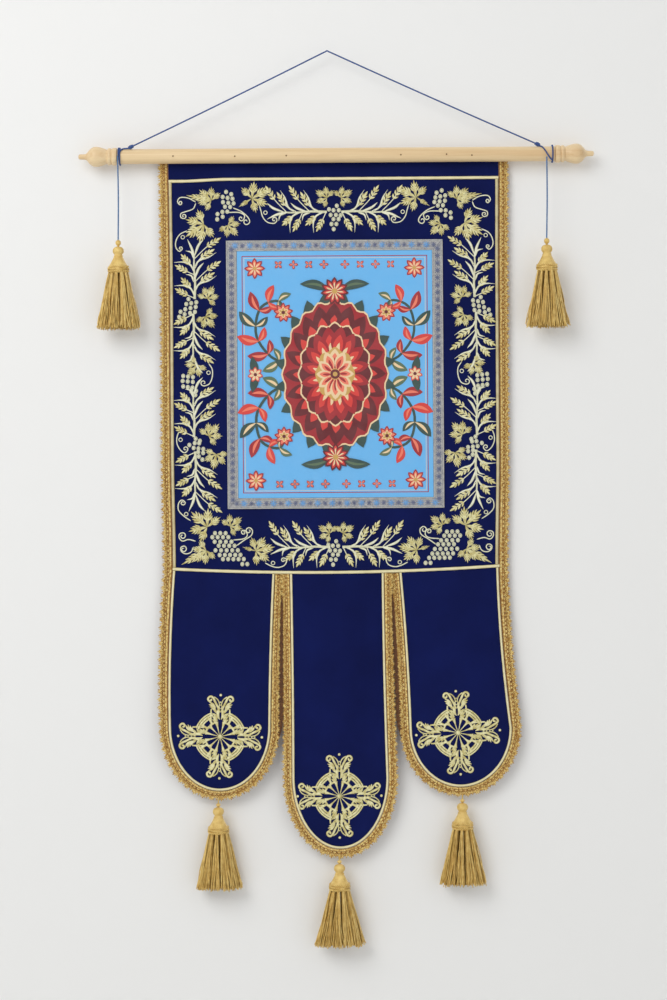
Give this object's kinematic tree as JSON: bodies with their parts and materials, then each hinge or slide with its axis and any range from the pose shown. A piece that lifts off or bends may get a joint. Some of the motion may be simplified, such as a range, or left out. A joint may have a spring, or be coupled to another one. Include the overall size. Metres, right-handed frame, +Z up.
{
  "type": "church banner on a hanging rod",
  "caption": "Velvet banner with a framed centre panel, round-ended lappets, gold lace edging and tassels, hung on a turned wooden rod by a cord.",
  "frame": {"origin": "the hanging point, where the cord passes over what holds it", "axes": "+Z up, -Y to the front, away from the wall, +X to the viewer's right along the rod"},
  "size_m": [0.9794, 0.0652, 1.7025],
  "materials": {
    "birch": "smooth sanded birch, clear satin finish",
    "blue_cord": "twisted blue cord",
    "navy_velvet": "short-pile navy velvet with gold machine embroidery",
    "printed_cloth": "fine smooth printed cloth",
    "silver_braid": "flat woven metallic braid with small blue motifs",
    "cream_piping": "pale gold satin-stitched piping",
    "gold_lace": "gold metallic crochet lace",
    "gold_thread": "old-gold satin thread"
  },
  "bodies": {
    "root": {"rod": "birch", "finial_left": "birch", "finial_right": "birch", "hanging_cord": "blue_cord", "cord_left": "blue_cord", "cord_right": "blue_cord", "knot_left": "blue_cord", "knot_right": "blue_cord", "field": "navy_velvet", "lappet_left": "navy_velvet", "lappet_middle": "navy_velvet", "lappet_right": "navy_velvet", "centre_panel": "printed_cloth", "braid_top": "silver_braid", "braid_right": "silver_braid", "braid_bottom": "silver_braid", "braid_left": "silver_braid", "piping_top": "cream_piping", "piping_seam": "cream_piping", "piping_left": "cream_piping", "piping_right": "cream_piping", "piping_lappet_left": "cream_piping", "piping_lappet_middle": "cream_piping", "piping_lappet_right": "cream_piping", "lace_left": "gold_lace", "lace_middle": "gold_lace", "lace_right": "gold_lace", "tassel_left": "gold_thread", "tassel_right": "gold_thread", "tassel_lappet_left": "gold_thread", "tassel_lappet_middle": "gold_thread", "tassel_lappet_right": "gold_thread"}
  },
  "joints": []
}
